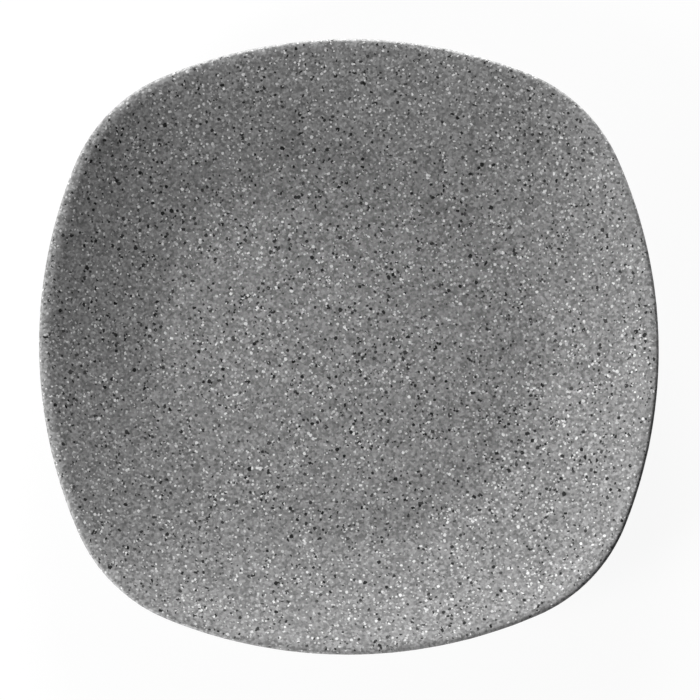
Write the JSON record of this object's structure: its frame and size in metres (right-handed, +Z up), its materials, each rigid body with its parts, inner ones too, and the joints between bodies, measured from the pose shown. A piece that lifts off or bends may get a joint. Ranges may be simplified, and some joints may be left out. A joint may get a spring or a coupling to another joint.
{
  "type": "square plate",
  "caption": "Square stoneware plate with bowed sides and round corners: flat round well, broad hollow wall, soft round lip, round foot ring and speckled granite-effect glaze.",
  "frame": {"origin": "on the table, under the middle of the plate", "axes": "+Z up out of the well; X and Y run to the middles of the bowed sides"},
  "size_m": [0.28, 0.28, 0.026],
  "materials": {
    "bare_stoneware": "bare fired stoneware, matt and slightly gritty",
    "granite_glaze": "semi-matt mid-grey glaze with charcoal and pale specks"
  },
  "bodies": {
    "root": {"stoneware_body": "bare_stoneware", "speckled_glaze": "granite_glaze", "foot_well_glaze": "granite_glaze"}
  },
  "joints": []
}
